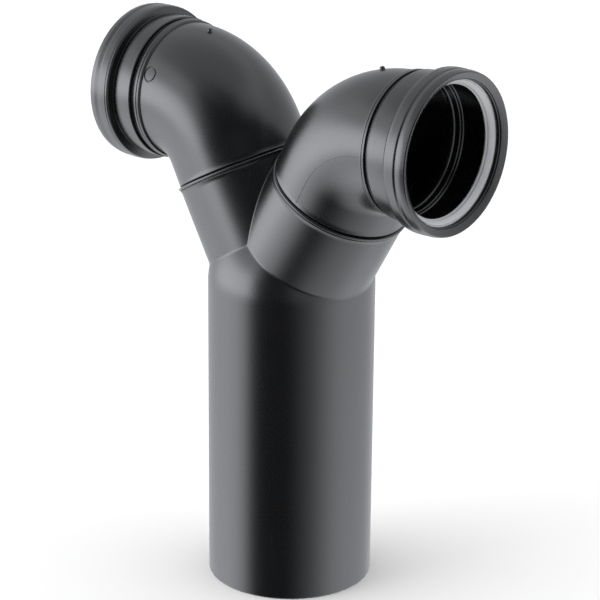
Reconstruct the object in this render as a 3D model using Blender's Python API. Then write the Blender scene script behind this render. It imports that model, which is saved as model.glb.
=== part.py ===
"""Double connection bend: an upright pipe leg whose domed top splits into two sockets facing apart.

The branch body is one moulding. A bend with a socket is butt welded onto each of its two stubs, and a
rubber lip seal sits in each socket's mouth. The fitting stands on the leg's cut end, with its arms along X.
"""
import bmesh
import bpy
from math import cos, pi, radians, sin
from mathutils import Matrix, Vector

# Leg: the pipe end that the fitting stands on, closed by a round dome
LEG_RADIUS = 0.055
LEG_WALL = 0.0043
LEG_HEIGHT = 0.1975         # from the cut end up to where the stubs' axes cross
DOME_RISE = 0.009           # from that crossing up to the centre of the dome

# Stubs and bends: one size of pipe, leaning out of the dome
ARM_RADIUS = 0.045
STUB_WALL = 0.0040
STUB_LEAN = radians(28.0)   # away from upright
STUB_REACH = 0.0885         # along the stub's axis, from the crossing to the weld
BEND_WALL = 0.0036
BEND_STRAIGHT = 0.0170      # from the weld to the start of the curve
BEND_RADIUS = 0.0495        # of the curve's centreline

# Butt weld: a rolled bead on each side of the joint, outside and in
BEAD_WIDTH = 0.0030
BEAD_RISE = 0.0008
INNER_BEAD_RISE = 0.0006

# Socket, from the bend towards the mouth
NECK_WALL = 0.0011          # over the socket's bore
NECK_WIDTH = 0.0070
RIDGE_RISE = 0.0008
RIDGE_PLACE = 0.0048        # from the collar to the ridge on the neck
RIDGE_WIDTH = 0.0030
COLLAR_WALL = 0.0021
COLLAR_WIDTH = 0.0142
COLLAR_EDGE = 0.0006        # its worn-off corner
RECESS_WALL = 0.0014
RECESS_WIDTH = 0.0024
FLANGE_WALL = 0.0028        # at its back, over the room for the seal
FLANGE_WIDTH = 0.0166
FLANGE_TAPER = 0.0012       # narrower at the front round than at the back
FLANGE_ROUND = 0.0022
FLANGE_LIP = 0.0006
FACE_DIP = 0.0042           # how far the front face slopes in to the mouth
SOCKET_BORE = 0.0453
SOCKET_STOP = 0.0305        # depth of the first of the ledges that stop the pipe
LEDGE_PITCH = 0.0022
LEDGES = 3

# Room for the seal, and the seal
ROOM_RISE = 0.0042          # from the socket's bore to the room's outer wall
ROOM_FRONT = 0.0062         # depth of the room's front wall
ROOM_WIDTH = 0.0080
SEAL_ROLL = 0.0012          # half the thickness of the roll that shows in the mouth
SEAL_ROLL_DEPTH = 0.0055
LIP_GRIP = 0.0058           # how far the lip reaches in from the bore
LIP_DEPTH = 0.0112
LIP_SKIRT = 0.0036          # from the lip's edge back to its end
LIP_WALL = 0.0016

# Marks of the mould on each bend
PIP_RADIUS = 0.0017
PIP_RISE = 0.0026
PIP_PLACE = 0.0100          # along the centreline, from the neck back
GATE_RADIUS = 0.0053
GATE_RISE = 0.0005
GATE_TURN = radians(62.0)   # round the bend, from its crown

CLEARANCE = 0.0003          # between pieces that touch
ROUND = 44                  # sides of a turned surface
ROUND_ARM = 36              # sides of a bend and of a seal
CURVE_STEPS = 8
SMALLEST = 0.000005         # points closer than this are one point

socket_width = NECK_WIDTH + COLLAR_WIDTH + RECESS_WIDTH + FLANGE_WIDTH
bend_turn = pi / 2 - STUB_LEAN
arc_length = BEND_RADIUS * bend_turn
bend_length = BEND_STRAIGHT + arc_length + socket_width


def clear_scene():
    for item in list(bpy.data.objects):
        bpy.data.objects.remove(item)


def plastic(name, colour, roughness):
    material = bpy.data.materials.new(name)
    material.use_nodes = True
    shader = material.node_tree.nodes["Principled BSDF"]
    shader.inputs["Base Color"].default_value = (*colour, 1.0)
    shader.inputs["Roughness"].default_value = roughness
    shader.inputs["Metallic"].default_value = 0.0
    return material


def add_object(name, bm, material, place=None):
    """Puts a closed mesh into the scene with its faces pointing out and its round surfaces shaded smooth."""
    bmesh.ops.recalc_face_normals(bm, faces=bm.faces)
    mesh = bpy.data.meshes.new(name)
    bm.to_mesh(mesh)
    bm.free()
    mesh.shade_smooth()
    mesh.set_sharp_from_angle(angle=radians(35))
    mesh.materials.append(material)
    item = bpy.data.objects.new(name, mesh)
    item.matrix_world = place or Matrix()
    bpy.context.collection.objects.link(item)
    return item


def combine(item, other, operation):
    """Joins or cuts a piece with a hidden tool."""
    other.hide_render = True
    other.display_type = "WIRE"
    step = item.modifiers.new(other.name, "BOOLEAN")
    step.operation = operation
    step.solver = "EXACT"
    step.object = other


def arm_place(side, centre, lean):
    """Where a piece of the right (1) or left (-1) arm stands, its +Z leaning out by an angle."""
    half_turn = Matrix.Rotation(0 if side > 0 else pi, 4, "Z")
    return half_turn @ Matrix.Translation(centre) @ Matrix.Rotation(lean, 4, "Y")


def turned(section, sides, closed=False, start=0.0):
    """A solid turned about Z. An open section starts and ends on the axis, a closed one makes a ring."""
    bm = bmesh.new()
    points = [bm.verts.new((r * cos(start), r * sin(start), z)) for z, r in section]
    edges = [bm.edges.new(pair) for pair in zip(points, points[1:])]
    if closed:
        edges.append(bm.edges.new((points[-1], points[0])))
    bmesh.ops.spin(bm, geom=points + edges, axis=(0, 0, 1), cent=(0, 0, 0), angle=2 * pi, steps=sides,
                   use_merge=True)
    bmesh.ops.remove_doubles(bm, verts=bm.verts, dist=SMALLEST)
    return bm


def arc(centre, radius, start, end, steps):
    """Points of an arc in a section, as (along the axis, from the axis), angle 0 along the axis."""
    angles = [start + (end - start) * i / steps for i in range(steps + 1)]
    return [(centre[0] + radius * cos(a), centre[1] + radius * sin(a)) for a in angles]


def roll(start, end, base, rise, steps=5):
    """A half-round roll on a surface, from one place along the axis to another."""
    middle, half = (start + end) / 2, (end - start) / 2
    angles = [pi * i / steps for i in range(steps + 1)]
    return [(middle - half * cos(a), base + rise * sin(a)) for a in angles]


def branch_body(material):
    """The leg with its dome, joined to the right stub and bored through, then mirrored to the left."""
    dome = LEG_HEIGHT + DOME_RISE
    bore = LEG_RADIUS - LEG_WALL
    outside = [(0, 0), (0, LEG_RADIUS)] + arc((dome, 0), LEG_RADIUS, pi / 2, 0, 12)
    inside = [(-LEG_WALL, 0), (-LEG_WALL, bore)] + arc((dome, 0), bore, pi / 2, 0, 10)

    end = STUB_REACH - CLEARANCE / 2
    stub_bore = ARM_RADIUS - STUB_WALL
    bead = roll(end - BEAD_WIDTH, end, ARM_RADIUS, BEAD_RISE)
    inner_bead = roll(end - BEAD_WIDTH, end, stub_bore, -INNER_BEAD_RISE)
    stub = [(0, 0), (0, ARM_RADIUS)] + bead + [(end, 0)]
    drill = [(0, 0), (0, stub_bore)] + inner_bead + [(STUB_REACH + BEAD_WIDTH, stub_bore)]
    drill += [(STUB_REACH + BEAD_WIDTH, 0)]

    place = arm_place(1, (0, 0, LEG_HEIGHT), STUB_LEAN)
    between = pi / ROUND        # the leg's sides stand between the stub's
    body = add_object("branch_body", turned(outside, ROUND, start=between), material)
    combine(body, add_object("stub", turned(stub, ROUND), material, place), "UNION")
    combine(body, add_object("leg_bore", turned(inside, ROUND, start=between), material), "DIFFERENCE")
    combine(body, add_object("stub_bore", turned(drill, ROUND), material, place), "DIFFERENCE")
    mirror = body.modifiers.new("left half", "MIRROR")
    mirror.use_bisect_axis[0] = True
    mirror.bisect_threshold = SMALLEST
    mirror.merge_threshold = SMALLEST
    return body


def centreline(s):
    """The bend's centre and its inward direction, at a distance s from the weld along its own axis."""
    if s <= BEND_STRAIGHT:
        return Vector((0, 0, s)), Vector((1, 0, 0))
    angle = min((s - BEND_STRAIGHT) / BEND_RADIUS, bend_turn)
    beyond = max(s - BEND_STRAIGHT - arc_length, 0)
    heading = Vector((sin(angle), 0, cos(angle)))
    inward = Vector((cos(angle), 0, -sin(angle)))
    pivot = Vector((BEND_RADIUS, 0, BEND_STRAIGHT))
    return pivot - inward * BEND_RADIUS + heading * beyond, inward


def bend_section():
    """The bend's wall as one closed outline: out along the outer skin, back along the bore."""
    front = bend_length
    room_top = SOCKET_BORE + ROOM_RISE
    flange = room_top + FLANGE_WALL
    recess = SOCKET_BORE + RECESS_WALL
    collar = SOCKET_BORE + COLLAR_WALL
    neck = SOCKET_BORE + NECK_WALL
    bend_bore = ARM_RADIUS - BEND_WALL
    start = CLEARANCE / 2
    curve = [BEND_STRAIGHT + arc_length * i / CURVE_STEPS for i in range(CURVE_STEPS + 1)]

    flange_back = front - FLANGE_WIDTH
    collar_front = flange_back - RECESS_WIDTH
    collar_back = collar_front - COLLAR_WIDTH
    neck_back = collar_back - NECK_WIDTH
    ridge = collar_back - RIDGE_PLACE

    outline = roll(start, start + BEAD_WIDTH, ARM_RADIUS, BEAD_RISE)
    outline += [(s, ARM_RADIUS) for s in curve]
    outline += [(neck_back, neck)]
    outline += roll(ridge - RIDGE_WIDTH / 2, ridge + RIDGE_WIDTH / 2, neck, RIDGE_RISE, 4)
    outline += [(collar_back, neck), (collar_back, collar - COLLAR_EDGE), (collar_back + COLLAR_EDGE, collar)]
    outline += [(collar_front - COLLAR_EDGE, collar), (collar_front, collar - COLLAR_EDGE)]
    outline += [(collar_front, recess), (flange_back, recess)]
    outline += [(flange_back, flange - FLANGE_LIP), (flange_back + FLANGE_LIP, flange)]
    nose = flange - FLANGE_TAPER - FLANGE_ROUND
    outline += arc((front - FLANGE_ROUND, nose), FLANGE_ROUND, pi / 2, 0, 4)
    outline += [(front - FACE_DIP, SOCKET_BORE), (front - ROOM_FRONT, SOCKET_BORE)]
    outline += [(front - ROOM_FRONT, room_top), (front - ROOM_FRONT - ROOM_WIDTH, room_top)]
    outline += [(front - ROOM_FRONT - ROOM_WIDTH, SOCKET_BORE)]
    radius = SOCKET_BORE
    for ledge in range(LEDGES):
        depth = front - SOCKET_STOP - ledge * LEDGE_PITCH
        lower = SOCKET_BORE + (bend_bore - SOCKET_BORE) * (ledge + 1) / LEDGES
        outline += [(depth, radius), (depth, lower)]
        radius = lower
    outline += [(s, bend_bore) for s in reversed(curve)]
    outline += roll(start + BEAD_WIDTH, start, bend_bore, -INNER_BEAD_RISE)
    return outline


def swept(section, sides):
    """Carries a closed section along the centreline, one ring of points for each point of the section."""
    bm = bmesh.new()
    rings = []
    for s, radius in section:
        centre, inward = centreline(s)
        ring = []
        for i in range(sides):
            angle = 2 * pi * i / sides
            out = -inward * cos(angle) + Vector((0, sin(angle), 0))
            ring.append(bm.verts.new(centre + out * radius))
        rings.append(ring)
    for here, there in zip(rings, rings[1:] + rings[:1]):
        for i in range(sides):
            j = (i + 1) % sides
            bm.faces.new((here[i], here[j], there[j], there[i]))
    return bm


def bend(name, side, material):
    """One bend with its socket, a pip on its crown and the round mark of its gate."""
    weld = Vector((sin(STUB_LEAN), 0, cos(STUB_LEAN))) * STUB_REACH + Vector((0, 0, LEG_HEIGHT))
    place = arm_place(side, weld, STUB_LEAN)
    piece = add_object(name, swept(bend_section(), ROUND_ARM), material, place)
    neck_back = bend_length - socket_width
    marks = (("pip", neck_back - PIP_PLACE, 0.0, PIP_RADIUS, PIP_RISE),
             ("gate", neck_back - GATE_RADIUS, -GATE_TURN, GATE_RADIUS, GATE_RISE))
    for word, s, angle, radius, rise in marks:
        centre, inward = centreline(s)
        out = -inward * cos(angle) - Vector((0, sin(angle), 0))
        sunk = ARM_RADIUS - BEND_WALL / 2
        tool = add_object(word + "_" + name, turned([(sunk, 0), (sunk, radius), (ARM_RADIUS + rise, radius),
                                                     (ARM_RADIUS + rise, 0)], 20), material)
        aim = Vector((0, 0, 1)).rotation_difference(out).to_matrix().to_4x4()
        tool.matrix_world = place @ Matrix.Translation(centre) @ aim
        combine(piece, tool, "UNION")
    return piece


def seal(name, side, material):
    """The lip seal: a foot held in the socket's room, a roll in the mouth and a lip that slopes in."""
    room_top = SOCKET_BORE + ROOM_RISE - CLEARANCE
    front = ROOM_FRONT + CLEARANCE
    back = ROOM_FRONT + ROOM_WIDTH - CLEARANCE
    neck = SOCKET_BORE - CLEARANCE
    inner = neck - 2 * SEAL_ROLL
    lip = SOCKET_BORE - LIP_GRIP
    lip_back = LIP_DEPTH + LIP_SKIRT
    section = [(-front, neck), (-front, room_top), (-back, room_top), (-back, neck - CLEARANCE)]
    section += [(-LIP_DEPTH - LIP_WALL, lip + 2 * LIP_WALL), (-lip_back, lip + LIP_WALL), (-lip_back, lip)]
    section += [(-LIP_DEPTH, lip), (-SEAL_ROLL_DEPTH - 2 * SEAL_ROLL, inner)]
    section += arc((-SEAL_ROLL_DEPTH, neck - SEAL_ROLL), SEAL_ROLL, -pi / 2, pi / 2, 6)
    mouth_x = socket_mouth()
    place = arm_place(side, (mouth_x.x, 0, mouth_x.z), pi / 2)
    return add_object(name, turned(section, ROUND_ARM, closed=True), material, place)


def socket_mouth():
    """The centre of the right socket's front plane."""
    weld = Vector((sin(STUB_LEAN), 0, cos(STUB_LEAN))) * STUB_REACH + Vector((0, 0, LEG_HEIGHT))
    return Matrix.Translation(weld) @ Matrix.Rotation(STUB_LEAN, 4, "Y") @ centreline(bend_length)[0]


def build():
    clear_scene()
    polyethylene = plastic("black_polyethylene", (0.018, 0.018, 0.020), 0.38)
    rubber = plastic("seal_rubber", (0.030, 0.030, 0.032), 0.48)
    branch_body(polyethylene)
    for side, word in ((1, "right"), (-1, "left")):
        bend("bend_" + word, side, polyethylene)
        seal("seal_" + word, side, rubber)


build()
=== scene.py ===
"""The look of a double connection bend for drainage: black moulded polyethylene with rubber lip seals.

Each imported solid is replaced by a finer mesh, with the small rounds, welds and mould marks of the real fitting.
The mesh follows the solid, but the stubs lean a little wider here and the seals' lips are shorter. Lengths are in
metres, the arms lie along X and the leg stands on the floor at z = 0.
"""
import bmesh
import bpy
from math import asin, atan2, ceil, cos, hypot, pi, radians, sin
from mathutils import Matrix, Vector, noise


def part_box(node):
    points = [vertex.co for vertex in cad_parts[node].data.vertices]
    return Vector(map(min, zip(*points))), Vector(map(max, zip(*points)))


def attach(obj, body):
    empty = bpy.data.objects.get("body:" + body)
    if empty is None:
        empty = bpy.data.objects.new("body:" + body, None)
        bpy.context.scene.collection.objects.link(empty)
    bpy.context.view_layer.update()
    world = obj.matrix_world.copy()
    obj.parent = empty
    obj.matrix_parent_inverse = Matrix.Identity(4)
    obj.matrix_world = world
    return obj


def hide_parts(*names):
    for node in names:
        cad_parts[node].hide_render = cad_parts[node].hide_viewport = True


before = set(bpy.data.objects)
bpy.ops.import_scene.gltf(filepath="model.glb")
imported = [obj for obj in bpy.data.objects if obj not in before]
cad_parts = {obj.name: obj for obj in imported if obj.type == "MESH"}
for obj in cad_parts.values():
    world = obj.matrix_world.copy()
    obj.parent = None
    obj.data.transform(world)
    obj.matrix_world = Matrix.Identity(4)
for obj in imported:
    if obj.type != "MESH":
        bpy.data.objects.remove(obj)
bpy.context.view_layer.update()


# Branch body
# One moulding in black polyethylene: the pipe leg, a dome that closes it, and two stubs leaning out of the dome.
# It is hollow all through, has a small radius where the forms meet, and ends in a rolled bead at each weld.

leg_radius = 0.05484            # just inside the box of the faceted solid
leg_wall = 0.0043
crossing = 0.1975               # height at which the stubs' axes cross
dome_start = crossing + 0.0074  # height of the dome's centre
arm_radius = 0.045
stub_wall = 0.0040
lean = radians(28.0)            # of the bend's end, from upright
stub_lean = radians(31.0)       # of the stub, which spreads a little more
stub_spread = 0.0006            # how far its lower flank stands out beyond the bend at the weld
stub_flare = 0.0010 / 0.060     # its widening towards the dome
weld_way = 0.0885               # from the crossing to the weld
weld_gap = 0.0003
bead_width = 0.0038             # on the lower flank; a fifth less where the stubs meet
bead_rise = 0.0010
bead_thinning = 0.1             # half of the share that the bead loses there
lump_grain = 70.0               # unevenness of the bead, in grains to the metre
lump_height = 0.00013
cut_edge = 0.0004               # the broken edge of the leg's cut end
cut_ring = 2.5                  # height of the next ring of points, in widths of that edge
crease_radius = 0.0011
inner_crease_radius = 0.0025
crease_share = 0.45             # the most that a crease takes of a short line on the stub

CREASE_COLUMNS = 150            # round the foot of a stub, where it meets the dome
CROTCH_COLUMNS = 96             # round the rest of it, where it meets the other stub
LEG_ROWS = 56
STUB_ROWS = 26
BLEND_STEPS = 6                 # even, so that one point lies on the plane between the stubs
ROW_CROWDING = 1.3              # above 1, the rows of points crowd towards the crease
HALVINGS = 48                   # of an interval, to find where a test turns true


def leg_point(azimuth, way, radius):
    """A point of the leg, at a way up its outline: straight to the dome, then over it."""
    over = max(way - dome_start, 0) / radius
    out = radius * cos(over)
    return Vector((out * cos(azimuth), out * sin(azimuth), min(way, dome_start) + radius * sin(over)))


weld_centre = Vector((sin(lean), 0, cos(lean))) * weld_way + Vector((0, 0, crossing))
stub_heading = Vector((sin(stub_lean), 0, cos(stub_lean)))


def stub_radius_at_weld(turn, radius):
    """The radius of a skin of the stub where it meets the bend."""
    return radius + stub_spread * (1 + cos(turn)) / 2


def stub_point(turn, way, radius):
    """A point of the right stub; turn 0 is its lower flank and pi faces the other stub."""
    before_weld = weld_way - way
    out = stub_radius_at_weld(turn, radius) + stub_flare * before_weld
    return weld_centre - stub_heading * before_weld + \
        Vector((cos(turn) * cos(lean), sin(turn), -cos(turn) * sin(lean))) * out


def outside_leg(point, radius):
    """How far a point lies outside the leg and its dome."""
    return hypot(point.x, point.y, max(point.z - dome_start, 0)) - radius


def bisect(crossed, low, high):
    """The value between two at which a test turns true."""
    for _ in range(HALVINGS):
        middle = (low + high) / 2
        low, high = (low, middle) if crossed(middle) else (middle, high)
    return (low + high) / 2


def middle_way(turn, radius):
    """The way along a stub at which a line on its side crosses the plane between the stubs."""
    across = cos(turn) * cos(lean)
    before_weld = (weld_centre.x + stub_radius_at_weld(turn, radius) * across) / \
        (sin(stub_lean) - stub_flare * across)
    return weld_way - before_weld


def rounded_step(start, control, end, steps):
    """A soft corner between two points, drawn towards a third."""
    shares = [i / steps for i in range(steps + 1)]
    return [start * (1 - t) ** 2 + control * 2 * t * (1 - t) + end * t ** 2 for t in shares]


outer_bead = [      # share of the bead's width from the stub to the weld, share of its rise
    (0.06, 0.12), (0.12, 0.34), (0.18, 0.44), (0.24, 0.38), (0.29, 0.10), (0.32, -0.12),
    (0.35, -0.12), (0.39, 0.20), (0.44, 0.60), (0.51, 0.88), (0.60, 1.00), (0.70, 1.00),
    (0.80, 0.93), (0.88, 0.76), (0.94, 0.42), (0.98, -0.05), (1.00, -0.35),
]
inner_bead = [      # the same, into the bore
    (0.12, -0.2), (0.25, -0.45), (0.40, -0.65), (0.55, -0.7), (0.70, -0.6), (0.85, -0.35), (1.00, 0.0),
]


def join_columns(bm, columns):
    """Lays faces between each column of points and the next."""
    for here, there in zip(columns, columns[1:]):
        for k in range(len(here) - 1):
            bm.faces.new((here[k], there[k], there[k + 1], here[k + 1]))


def half_skin(bm, leg, arm, crease, bead, cut):
    """The right half of one skin. Returns its edge at the leg's cut end and its ring at the weld."""
    corner = bisect(lambda turn: outside_leg(stub_point(turn, middle_way(turn, arm), arm), leg) > 0,
                    pi / 2, pi)
    creases = [-corner + 2 * corner * i / CREASE_COLUMNS for i in range(CREASE_COLUMNS + 1)]
    gap = (2 * pi - 2 * corner) / CROTCH_COLUMNS
    crotches = [corner + gap * i for i in range(1, CROTCH_COLUMNS)]
    end = weld_way - weld_gap / 2

    feet, stub_columns = [], []
    for turn in creases + crotches:
        low = max(middle_way(turn, arm), 0)
        foot = low
        if abs(turn) < corner - 1e-9:
            foot = bisect(lambda way: outside_leg(stub_point(turn, way, arm), leg) > 0, low, weld_way)
        feet.append(foot)
        width = bead_width * (1 - bead_thinning + bead_thinning * cos(turn))
        bead_start = end - width
        first = foot + min(crease, crease_share * (bead_start - foot))
        ways = [first + (bead_start - first) * (i / STUB_ROWS) ** ROW_CROWDING
                for i in range(STUB_ROWS + 1)]
        column = [stub_point(turn, way, arm) for way in ways]
        column += [stub_point(turn, bead_start + width * share, arm + bead_rise * rise)
                   for share, rise in bead]
        stub_columns.append([bm.verts.new(point) for point in column])
    join_columns(bm, stub_columns + stub_columns[:1])

    leg_columns, blends = [], []
    for i, turn in enumerate(creases):
        meeting = stub_point(turn, feet[i], arm)
        over = asin(min(max(meeting.z - dome_start, 0) / leg, 1))
        top = min(meeting.z, dome_start) + over * leg
        azimuth = atan2(meeting.y, meeting.x)
        last = top - crease
        column = [leg_point(azimuth, cut + (last - cut) * (1 - (1 - k / LEG_ROWS) ** ROW_CROWDING), leg)
                  for k in range(LEG_ROWS + 1)]
        column.insert(1, leg_point(azimuth, cut * cut_ring, leg))
        column.insert(0, leg_point(azimuth, 0, leg - cut if leg == leg_radius else leg + cut))
        if i in (0, CREASE_COLUMNS):
            meeting.x = 0
            for point in column:
                point.x = 0
        column = [bm.verts.new(point) for point in column]
        soft = rounded_step(column[-1].co, meeting, stub_columns[i][0].co, BLEND_STEPS)
        leg_columns.append(column)
        blends.append([column[-1]] + [bm.verts.new(point) for point in soft[1:-1]] + [stub_columns[i][0]])
    join_columns(bm, [column + blend[1:] for column, blend in zip(leg_columns, blends)])

    ring = [CREASE_COLUMNS + i for i in range(CROTCH_COLUMNS)] + [0]
    turns = creases + crotches
    seams = []
    for index in ring:
        first = stub_columns[index][0]
        meeting = stub_point(turns[index], feet[index], arm)
        meeting.x = 0
        mirrored = Vector((-first.co.x, first.co.y, first.co.z))
        soft = rounded_step(mirrored, meeting, first.co, BLEND_STEPS)[BLEND_STEPS // 2:-1]
        soft[0].x = 0
        seams.append([bm.verts.new(point) for point in soft] + [first])
    join_columns(bm, seams)
    for blend, seam in ((blends[-1], seams[0]), (blends[0], seams[-1])):
        bm.faces.new(blend + seam[-2::-1])
    return [column[0] for column in leg_columns], [column[-1] for column in stub_columns]


def tube_ends(bm, outer, inner, closed):
    """Closes the ring of wall between two skins."""
    count = len(outer)
    for i in range(count if closed else count - 1):
        j = (i + 1) % count
        bm.faces.new((outer[i], outer[j], inner[j], inner[i]))


def weld_lumps(bm):
    """Makes the rolls of the two welds a little uneven, as pressed by hand against the heated plate."""
    for vert in bm.verts:
        side = 1 if vert.co.x > 0 else -1
        axis = Vector((side * sin(lean), 0, cos(lean)))
        from_crossing = vert.co - Vector((0, 0, crossing))
        way = from_crossing.dot(axis)
        radial = from_crossing - axis * way
        share = (weld_way - way) / bead_width
        if 0 < share < 1 and radial.length > arm_radius - stub_wall / 2:
            vert.co += radial.normalized() * noise.noise(vert.co * lump_grain) * lump_height * sin(pi * share)


def smooth_piece(name, bm, sharp=40.0):
    """Puts a closed mesh into the scene, faces out and smooth but for edges sharper than so many degrees."""
    bmesh.ops.recalc_face_normals(bm, faces=bm.faces)
    mesh = bpy.data.meshes.new(name)
    bm.to_mesh(mesh)
    bm.free()
    mesh.shade_smooth()
    mesh.set_sharp_from_angle(angle=radians(sharp))
    piece = bpy.data.objects.new(name, mesh)
    bpy.context.scene.collection.objects.link(piece)
    return piece


class Flow:
    """A value, colour or vector in a material. Arithmetic on a value adds Math nodes."""

    def __init__(self, tree, socket=None):
        self.tree, self.socket = tree, socket

    def node(self, kind, settings=None, inputs=None, output=0):
        """Adds a node: its settings first, then the values or links of its sockets, by name or number."""
        made = self.tree.nodes.new(kind)
        for name, value in (settings or {}).items():
            if name == "stops":
                while len(made.color_ramp.elements) < len(value):
                    made.color_ramp.elements.new(1)
                for element, (place, grey) in zip(made.color_ramp.elements, value):
                    element.position, element.color = place, (grey, grey, grey, 1)
            else:
                setattr(made, name, value)
        for name, value in (inputs or {}).items():
            if isinstance(value, Flow):
                self.tree.links.new(value.socket, made.inputs[name])
            else:
                made.inputs[name].default_value = value
        return Flow(self.tree, made.outputs[output])

    def math(self, operation, first, second=0.0):
        return self.node("ShaderNodeMath", {"operation": operation}, {0: first, 1: second})

    def __add__(self, other):
        return self.math("ADD", self, other)

    def __radd__(self, other):
        return self.math("ADD", other, self)

    def __sub__(self, other):
        return self.math("SUBTRACT", self, other)

    def __rsub__(self, other):
        return self.math("SUBTRACT", other, self)

    def __mul__(self, other):
        return self.math("MULTIPLY", self, other)

    def __rmul__(self, other):
        return self.math("MULTIPLY", other, self)

    def blend(self, share, first, second):
        """A colour between two, by a share."""
        return self.node("ShaderNodeMix", {"data_type": "RGBA"}, {0: share, 6: first, 7: second}, 2)

    def speckle(self, place, scale, detail=2.0, roughness=0.5, stretch=None):
        """Soft noise from 0 to 1 at a place, of so many grains to the metre."""
        if stretch:
            place = self.node("ShaderNodeVectorMath", {"operation": "MULTIPLY"}, {0: place, 1: stretch})
        return self.node("ShaderNodeTexNoise", None,
                         {"Vector": place, "Scale": scale, "Detail": detail, "Roughness": roughness})

    def ramp(self, value, stops):
        """A value passed through a curve of (place, grey) stops."""
        return self.node("ShaderNodeValToRGB", {"stops": stops}, {0: value}, 0)


def begin_material(name):
    """A new material, its shader and the place on the surface that its patterns start from."""
    material = bpy.data.materials.new(name)
    material.use_nodes = True
    tree = material.node_tree
    flow = Flow(tree)
    place = flow.node("ShaderNodeTexCoord", output=3)
    return material, tree.nodes["Principled BSDF"], flow, place


def plug_in(flow, shader, **links):
    """Links or sets the shader's sockets, with _ for a space."""
    for name, value in links.items():
        socket = shader.inputs[name.replace("_", " ")]
        if isinstance(value, Flow):
            flow.tree.links.new(value.socket, socket)
        else:
            socket.default_value = value


def moulded_polyethylene():
    """Black polyethylene as it leaves the mould: satin, faintly cloudy, with a fine skin and a few rub marks."""
    material, shader, flow, place = begin_material("black polyethylene")
    clouds = flow.speckle(place, 14.0, 4.0, 0.6)
    skin = flow.speckle(place, 900.0, 3.0, 0.55)
    waves = flow.speckle(place, 55.0, 2.0, 0.45)
    streaks = flow.speckle(place, 260.0, 3.0, 0.6, stretch=(1.0, 1.0, 0.09))
    rubs = flow.ramp(streaks, [(0.63, 0.0), (0.74, 1.0)])
    worn = rubs * flow.ramp(flow.speckle(place, 20.0, 2.0, 0.5), [(0.48, 0.0), (0.66, 1.0)])
    colour = flow.blend(clouds, (0.0020, 0.0021, 0.0024, 1), (0.0036, 0.0037, 0.0042, 1))
    colour = flow.blend(worn * 0.35, colour, (0.020, 0.020, 0.021, 1))
    rough = clouds * 0.06 + skin * 0.04 + worn * 0.08 + 0.225
    bump = flow.node("ShaderNodeBump", None, {"Strength": 0.06, "Distance": 0.0002,
                                              "Height": skin * 0.3 + waves})
    plug_in(flow, shader, Base_Color=colour, Roughness=rough, Normal=bump, Specular_IOR_Level=0.5)
    return material


polyethylene = moulded_polyethylene()

body_bm = bmesh.new()
outer_cut, outer_weld = half_skin(body_bm, leg_radius, arm_radius, crease_radius, outer_bead, cut_edge)
inner_cut, inner_weld = half_skin(body_bm, leg_radius - leg_wall, arm_radius - stub_wall,
                                  inner_crease_radius, inner_bead, cut_edge)
tube_ends(body_bm, outer_cut, inner_cut, closed=False)
tube_ends(body_bm, outer_weld, inner_weld, closed=True)
bmesh.ops.mirror(body_bm, geom=body_bm.verts[:] + body_bm.edges[:] + body_bm.faces[:],
                 axis="X", merge_dist=1e-6)
weld_lumps(body_bm)
body = smooth_piece("moulded_branch_body", body_bm, sharp=52.0)
body.data.materials.append(polyethylene)
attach(body, "root")
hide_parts("branch_body")


# Bends with their sockets
# Each bend is a separate moulding in the same polyethylene, butt welded onto its stub. Its mouth widens into a
# push-fit socket with a collar and a flange that holds the seal, and the mould leaves a pip and a round gate mark.

bend_wall = 0.0036
bend_straight = 0.0170          # from the weld to the start of the curve
bend_radius = 0.0495            # of the curve's centreline
bend_turn = pi / 2 - lean
curve_length = bend_radius * bend_turn
socket_bore = 0.0453            # takes the end of a 90 mm pipe
pip_place = 0.0107              # on the crown, back from the end of the curve
pip_radius = 0.0017
pip_rise = 0.0021
pip_sunk = 0.001                # how deep its foot stands in the wall
gate_place = 0.0039             # of its centre, back from the end of the curve
gate_turn = radians(65.0)       # round the bend, from its crown
gate_along = 0.0031             # half its size along the bend, and then round it
gate_across = 0.0048
gate_groove = 0.00058           # radius of the groove, whose centre lies so far under the skin
gate_sunk = 0.0001
seam_start = 0.0022             # from the weld
seam_short = 0.0035             # what it lacks of the way to the socket
seam_cord = 0.00026             # radius of its ridge, whose centre lies so far under the skin
seam_sunk = 0.00008

_, bend_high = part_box("bend_right")
front = bend_high.x                                  # the plane of the right socket's front
seal_low, seal_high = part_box("seal_right")
socket_height = (seal_low.z + seal_high.z) / 2
curve_end = weld_centre + Vector((
    sin(lean) * bend_straight + bend_radius * cos(lean), 0,
    cos(lean) * bend_straight + bend_radius * (1 - sin(lean))))
socket_depth = front - curve_end.x
bend_length = bend_straight + curve_length + socket_depth

SIDES = 160
PIP_SIDES = 28
CORD_SIDES = 10
GATE_STEPS = 72
SEAM_STEPS = 60
STRAIGHT_ROWS = 6
CURVE_PITCH = 0.0014            # greatest length of a row of faces on the curve


def rounded(corners, steps=4):
    """An outline through (depth, radius, rounding) corners, each softened by its rounding."""
    outline = []
    for i, (depth, radius, rounding) in enumerate(corners):
        here = Vector((depth, radius))
        if rounding == 0 or i in (0, len(corners) - 1):
            outline.append(here)
            continue
        back = Vector(corners[i - 1][:2]) - here
        on = Vector(corners[i + 1][:2]) - here
        reach = min(rounding, 0.49 * back.length, 0.49 * on.length)
        outline += rounded_step(here + back.normalized() * reach, here, here + on.normalized() * reach, steps)
    return outline


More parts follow.
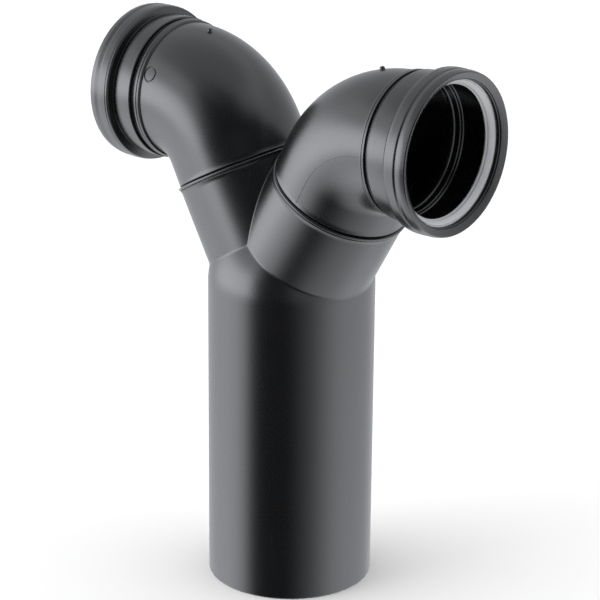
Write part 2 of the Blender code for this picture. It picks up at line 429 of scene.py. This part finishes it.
def centreline(s):
    """The bend's centre and its inward direction, at a distance s from the weld, for the right arm."""
    heading = Vector((sin(lean), 0, cos(lean)))
    inward = Vector((cos(lean), 0, -sin(lean)))
    if s <= bend_straight:
        return weld_centre + heading * s, inward
    angle = min((s - bend_straight) / bend_radius, bend_turn)
    pivot = weld_centre + heading * bend_straight + inward * bend_radius
    inward_there = Vector((cos(lean + angle), 0, -sin(lean + angle)))
    heading_there = Vector((sin(lean + angle), 0, cos(lean + angle)))
    beyond = max(s - bend_straight - curve_length, 0)
    return pivot - inward_there * bend_radius + heading_there * beyond, inward_there


socket_outside = [          # depth behind the front, radius, rounding; from the bend forwards
    (socket_depth, 0.0450, 0.0003),
    (socket_depth - 0.0004, 0.0462, 0.0004),
    (socket_depth - 0.0020, 0.0464, 0.0002),
    (socket_depth - 0.0023, 0.0461, 0.0002),
    (socket_depth - 0.0026, 0.0465, 0.0003),
    (socket_depth - 0.0042, 0.0466, 0.0004),
    (socket_depth - 0.0044, 0.0449, 0.0004),
    (0.0325, 0.0449, 0.0004),
    (0.0323, 0.0474, 0.0006),
    (0.0196, 0.0473, 0.0008),
    (0.0190, 0.0466, 0.0004),
    (0.0171, 0.0466, 0.0004),
    (0.0167, 0.0502, 0.0004),
    (0.0164, 0.0517, 0.0009),
    (0.0146, 0.0519, 0.0002),
    (0.0142, 0.0521, 0.0003),
    (0.0088, 0.0522, 0.0005),
    (0.0075, 0.0516, 0.0003),
    (0.0048, 0.0521, 0.0014),
    (0.0036, 0.0520, 0.0012),
    (0.0007, 0.0514, 0.0005),
    (0.0002, 0.0507, 0.0004),
    (0.0025, 0.0465, 0.0003),
    (0.0034, 0.0464, 0.0003),
    (0.0036, 0.0459, 0.0002),
    (0.0042, 0.0457, 0.0003),
]
socket_inside = [           # from the mouth back to the bore of the bend
    (0.0050, 0.0457, 0.0003),
    (0.0054, 0.0463, 0.0002),
    (0.0062, 0.0463, 0.0002),
    (0.0062, 0.0495, 0.0005),
    (0.0142, 0.0495, 0.0005),
    (0.0142, socket_bore, 0.0005),
    (0.0304, socket_bore, 0.0003),
    (0.0310, 0.0444, 0.0003),
    (0.0322, 0.0444, 0.0003),
    (0.0326, 0.0436, 0.0002),
    (0.0358, 0.0431, 0.0002),
    (0.0363, 0.0422, 0.0002),
    (0.0385, 0.0414, 0.0006),
]
bend_bead = [               # way from the weld, rise of the bend's own thin roll
    (0.0, -0.00040), (0.00010, -0.00030), (0.00030, -0.00010), (0.00050, 0.00012),
    (0.00075, 0.00022), (0.00100, 0.00022), (0.00130, 0.00012), (0.00160, 0.00003),
]


def bend_outline():
    """The wall's closed outline as (way from the weld, radius): out along the outer skin, back along the bore."""
    start = weld_gap / 2
    bore = arm_radius - bend_wall
    rows = ceil(curve_length / CURVE_PITCH)
    curve = [bend_straight + curve_length * i / rows for i in range(rows + 1)]
    first = start + bead_width
    straight = [first + (bend_straight - first) * i / STRAIGHT_ROWS for i in range(STRAIGHT_ROWS)]
    outline = [(start + along, arm_radius + out) for along, out in bend_bead]
    outline += [(s, arm_radius) for s in straight + curve[:-1]]
    forward = rounded(socket_outside + socket_inside)
    outline += [(bend_length - depth, radius) for depth, radius in forward]
    outline += [(s, bore) for s in reversed(straight + curve)]
    outline += [(start + bead_width * share, bore + bead_rise * rise)
                for share, rise in reversed(inner_bead[:-1])]
    outline.append((start, bore))
    return outline


def on_bend(s, turn, radius):
    """A point at a radius from the bend's centreline; turn 0 is towards its crown."""
    centre, inward = centreline(s)
    return centre + (-inward * cos(turn) + Vector((0, sin(turn), 0))) * radius


def join_rings(bm, rings, looped):
    """Lays faces between each ring of points and the next, and closes the ends or joins last to first."""
    for here, there in zip(rings, rings[1:] + rings[:1] if looped else rings[1:]):
        for i in range(len(here)):
            j = (i + 1) % len(here)
            bm.faces.new((here[i], here[j], there[j], there[i]))
    if not looped:
        bm.faces.new(rings[0])
        bm.faces.new(rings[-1])


def swept(outline, sides):
    """Carries a closed outline round the right arm's centreline."""
    bm = bmesh.new()
    rings = [[bm.verts.new(on_bend(s, 2 * pi * i / sides, radius)) for i in range(sides)]
             for s, radius in outline]
    join_rings(bm, rings, looped=True)
    return bm


def cord(points, cord_radius, looped):
    """A round cord along points by the bend's skin, each (way, turn, radius)."""
    bm = bmesh.new()
    places = [on_bend(*point) for point in points]
    count = len(places)
    angles = [2 * pi * k / CORD_SIDES for k in range(CORD_SIDES)]
    rings = []
    for i, place in enumerate(places):
        before = places[i - 1] if looped or i else place
        after = places[(i + 1) % count] if looped or i < count - 1 else place
        along = (after - before).normalized()
        up = (on_bend(points[i][0], points[i][1], 1.0) - centreline(points[i][0])[0]).normalized()
        across = along.cross(up).normalized()
        up = across.cross(along)
        rings.append([bm.verts.new(place + (across * cos(angle) + up * sin(angle)) * cord_radius)
                      for angle in angles])
    join_rings(bm, rings, looped)
    return bm


def crown_pip(s):
    """A small round-headed peg standing on the bend's crown."""
    centre = centreline(s)[0]
    up = (on_bend(s, 0.0, 1.0) - centre).normalized()
    side = up.cross(Vector((0, 1, 0))).normalized()
    other = up.cross(side)
    foot = centre + up * (arm_radius - pip_sunk)
    bm = bmesh.new()
    outline = [(pip_radius * 1.25, 0.0), (pip_radius * 1.2, pip_sunk), (pip_radius * 1.02, 0.0014),
               (pip_radius, pip_sunk + pip_rise * 0.5)]
    outline += [(pip_radius * cos(a), pip_sunk + pip_rise * (0.5 + 0.5 * sin(a)))
                for a in (0.4, 0.8, 1.1, 1.35)]
    angles = [2 * pi * k / PIP_SIDES for k in range(PIP_SIDES)]
    rings = [[bm.verts.new(foot + (side * cos(angle) + other * sin(angle)) * out + up * high)
              for angle in angles] for out, high in outline]
    join_rings(bm, rings, looped=False)
    return bm


def work_into(bm, tool, operation):
    """Joins a small form to a mesh, or cuts it out, exactly."""
    scratch = []
    for name, part in (("worked piece", bm), ("tool", tool)):
        bmesh.ops.recalc_face_normals(part, faces=part.faces)
        mesh = bpy.data.meshes.new(name)
        part.to_mesh(mesh)
        part.free()
        scratch.append(bpy.data.objects.new(name, mesh))
        bpy.context.scene.collection.objects.link(scratch[-1])
    change = scratch[0].modifiers.new("change", "BOOLEAN")
    change.operation = operation
    change.solver = "EXACT"
    change.object = scratch[1]
    bpy.context.view_layer.update()
    result = bmesh.new()
    result.from_object(scratch[0], bpy.context.evaluated_depsgraph_get())
    for used in scratch:
        bpy.data.meshes.remove(used.data)
    return result


def turn_to_left(bm):
    """Turns a form of the right arm half round, onto the left arm."""
    bmesh.ops.rotate(bm, verts=bm.verts, cent=(0, 0, 0), matrix=Matrix.Rotation(pi, 3, "Z"))


def moulded_bend(name, node, side):
    """One bend, for the right (1) or left (-1) arm, with the marks that the mould leaves."""
    bm = swept(bend_outline(), SIDES)
    end = bend_straight + curve_length
    bm = work_into(bm, crown_pip(end - pip_place), "UNION")
    gate = [(end - gate_place + gate_along * cos(2 * pi * i / GATE_STEPS),
             gate_turn + gate_across / arm_radius * sin(2 * pi * i / GATE_STEPS),
             arm_radius - gate_sunk) for i in range(GATE_STEPS)]
    bm = work_into(bm, cord(gate, gate_groove, looped=True), "DIFFERENCE")
    seam = [(seam_start + (end - seam_short) * i / SEAM_STEPS, -pi / 2, arm_radius - seam_sunk)
            for i in range(SEAM_STEPS + 1)]
    bm = work_into(bm, cord(seam, seam_cord, looped=False), "UNION")
    if side < 0:
        turn_to_left(bm)
    piece = smooth_piece(name, bm)
    piece.data.materials.append(polyethylene)
    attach(piece, "root")
    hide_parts(node)


moulded_bend("moulded_bend_right", "bend_right", 1)
moulded_bend("moulded_bend_left", "bend_left", -1)


# Lip seals
# A ring of smooth rubber sits in the room behind each socket's mouth, held by its thick foot. Its light grey is
# partly the rubber's own grey and partly a painted sheen. A thin lip slopes in from it and wipes the pipe that is
# pushed in.

seal_outline = [            # depth behind the front, radius, rounding
    (0.0064, 0.0461, 0.0002),
    (0.0066, 0.0491, 0.0004),
    (0.0138, 0.0491, 0.0004),
    (0.0138, 0.0448, 0.0004),
    (0.0122, 0.0436, 0.0006),
    (0.0122, 0.0424, 0.0004),
    (0.0114, 0.0418, 0.0004),
    (0.0106, 0.0418, 0.0003),
    (0.0102, 0.0423, 0.0002),
    (0.0090, 0.0424, 0.0004),
    (0.0062, 0.0446, 0.0004),
    (0.0068, 0.0452, 0.0003),
    (0.0062, 0.0456, 0.0003),
]


def turned_ring(outline, sides):
    """A closed outline turned about X, centred on the right socket's front."""
    bm = bmesh.new()
    rings = []
    for i in range(sides):
        angle = 2 * pi * i / sides
        rings.append([bm.verts.new((front - depth, radius * sin(angle), socket_height + radius * cos(angle)))
                      for depth, radius in outline])
    join_rings(bm, rings, looped=True)
    return bm


def seal_rubber_painted_sheen():
    """Grey rubber with a faint film of lubricant that lies unevenly; its light grey is partly a painted sheen."""
    material, shader, flow, place = begin_material("seal rubber")
    film = flow.speckle(place, 90.0, 3.0, 0.55)
    grain = flow.speckle(place, 1500.0, 2.0, 0.5)
    # Painted sheen: these two light greys are partly the rubber's own grey and partly stand in for the light that
    # the lubricated rubber reflects.
    colour = flow.blend(film, (0.470, 0.473, 0.482, 1), (0.570, 0.573, 0.582, 1))
    rough = film * 0.16 + 0.30
    bump = flow.node("ShaderNodeBump", None, {"Strength": 0.08, "Distance": 0.0002, "Height": grain + film})
    plug_in(flow, shader, Base_Color=colour, Roughness=rough, Normal=bump, Specular_IOR_Level=0.5)
    return material


rubber = seal_rubber_painted_sheen()
closed_outline = rounded(seal_outline[-1:] + seal_outline + seal_outline[:1])[1:-1]
for word, side in (("right", 1), ("left", -1)):
    ring_bm = turned_ring(closed_outline, SIDES)
    if side < 0:
        turn_to_left(ring_bm)
    ring = smooth_piece("lip_seal_" + word, ring_bm)
    ring.data.materials.append(rubber)
    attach(ring, "root")
    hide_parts("seal_" + word)


# Floor, light and camera
# A pale floor under a studio tent: a bright wall of light on the left, a softer one on the right, a dim ceiling
# and a dark gap where the camera looks in. Behind the fitting the light is low and even.

camera_turn = radians(41.23)        # from -Y towards +X, seen from above
floor_radius = 9.0

floor_bm = bmesh.new()
bmesh.ops.create_circle(floor_bm, cap_ends=True, segments=96, radius=floor_radius)
floor = smooth_piece("floor", floor_bm)
floor_paint, floor_shader, floor_flow, _ = begin_material("pale floor")
plug_in(floor_flow, floor_shader, Base_Color=(0.914, 0.890, 0.850, 1), Roughness=0.9,
        Specular_IOR_Level=0.1)
floor.data.materials.append(floor_paint)
floor.visible_glossy = False        # the black surfaces mirror the tent and not the floor


def studio_tent():
    """A world whose light depends only on the direction that it comes from; the camera sees it plain white."""
    world = bpy.data.worlds.new("studio tent")
    world.use_nodes = True
    tree = world.node_tree
    flow = Flow(tree)
    heading = flow.node("ShaderNodeTexCoord", output=0)
    turned = flow.node("ShaderNodeVectorRotate", {"rotation_type": "Z_AXIS"},
                       {"Vector": heading, "Angle": pi / 2 - camera_turn})
    east = flow.node("ShaderNodeSeparateXYZ", None, {0: turned}, 0)
    north = flow.node("ShaderNodeSeparateXYZ", None, {0: turned}, 1)
    height = flow.node("ShaderNodeSeparateXYZ", None, {0: turned}, 2)
    bearing = flow.math("ARCTAN2", north, east) * (0.5 / pi) + 0.5
    rise = flow.math("ARCSINE", height) * (180 / pi)
    brightest = 8.0                 # at the top of the colour ramps
    tint = (0.93, 0.955, 1.0, 1)
    gain = 1.06
    ceiling = 1.2

    def wall(stops):
        """Light round the tent at one height, by bearing in degrees: 0 is the camera's side, 90 its right."""
        return flow.ramp(bearing, [((turn + 180) / 360, light / brightest) for turn, light in stops]) * brightest

    def above(light, higher, start, end):
        """Passes from one light to a higher one between two elevations in degrees."""
        share = flow.node("ShaderNodeMapRange", {"interpolation_type": "SMOOTHSTEP"},
                          {"Value": rise, "From Min": start, "From Max": end})
        return light + (higher - light) * share

    table = 2.3
    low = wall([
        (-180, 0.8), (-150, 1.2), (-128, 1.9), (-113, 2.8), (-98, 3.8), (-80, 4.2), (-66, 3.0),
        (-58, 0.8), (-48, 0.1), (-2, 0.05), (10, 0.3), (30, 1.0), (50, 2.4), (66, 3.3), (82, 3.3),
        (97, 2.8), (112, 2.2), (130, 1.5), (180, 0.8)])
    middle = wall([
        (-180, 0.8), (-150, 1.0), (-132, 1.8), (-113, 4.8), (-98, 6.8), (-80, 7.8), (-62, 7.8),
        (-54, 3.0), (-46, 0.3), (-30, 0.1), (-8, 0.2), (8, 0.9), (25, 1.1), (40, 1.9), (60, 1.7),
        (97, 1.4), (130, 1.1), (180, 0.8)])
    upper = wall([
        (-180, 0.8), (-143, 1.1), (-125, 1.6), (-110, 2.2), (-80, 2.7), (-60, 3.0), (-50, 2.2),
        (-42, 0.3), (-30, 0.05), (50, 0.05), (60, 0.9), (68, 1.4), (120, 1.2), (180, 0.8)])
    high = wall([
        (-180, 1.2), (-80, 1.4), (-50, 1.2), (-30, 0.7), (-8, 0.25), (8, 0.2), (24, 0.7),
        (45, 1.5), (85, 1.9), (120, 1.6), (180, 1.2)])
    light = above(table, low, -68, -40)
    light = above(light, middle, -18, -6)
    light = above(light, upper, 8, 26)
    light = above(light, high, 36, 50)
    light = above(light, ceiling, 52, 68)
    seen = flow.node("ShaderNodeLightPath", None, None, 0)
    lit = flow.node("ShaderNodeBackground", None, {"Color": tint, "Strength": light * gain})
    plain = flow.node("ShaderNodeBackground", None, {"Color": (1, 1, 1, 1), "Strength": 1.0})
    both = flow.node("ShaderNodeMixShader", None, {0: seen, 1: lit, 2: plain})
    tree.links.new(both.socket, tree.nodes["World Output"].inputs["Surface"])
    return world


bpy.context.scene.world = studio_tent()
bpy.context.scene.view_settings.view_transform = "Standard"

camera_pitch = radians(19.85)
camera_roll = radians(0.52)
camera_distance = 1.5752
focal_pixels = 2397.5
picture_pixels = 600
aim_aside = 0.0055                  # to the camera's right of the leg's axis
aim_height = 0.1912
aim = Vector((aim_aside * cos(camera_turn), aim_aside * sin(camera_turn), aim_height))

right = Vector((cos(camera_turn), sin(camera_turn), 0))
ahead = Vector((-sin(camera_turn) * cos(camera_pitch), cos(camera_turn) * cos(camera_pitch),
                -sin(camera_pitch)))
upward = right.cross(ahead)
lens = bpy.data.cameras.new("camera")
lens.sensor_width = 36.0
lens.lens = focal_pixels * lens.sensor_width / picture_pixels
lens.clip_start = 0.05
lens.clip_end = 40.0
camera = bpy.data.objects.new("camera", lens)
stance = Matrix((right, upward, -ahead)).transposed().to_4x4()
camera.matrix_world = Matrix.Translation(aim - ahead * camera_distance) @ stance @ \
    Matrix.Rotation(camera_roll, 4, "Z")
bpy.context.scene.collection.objects.link(camera)
bpy.context.scene.camera = camera
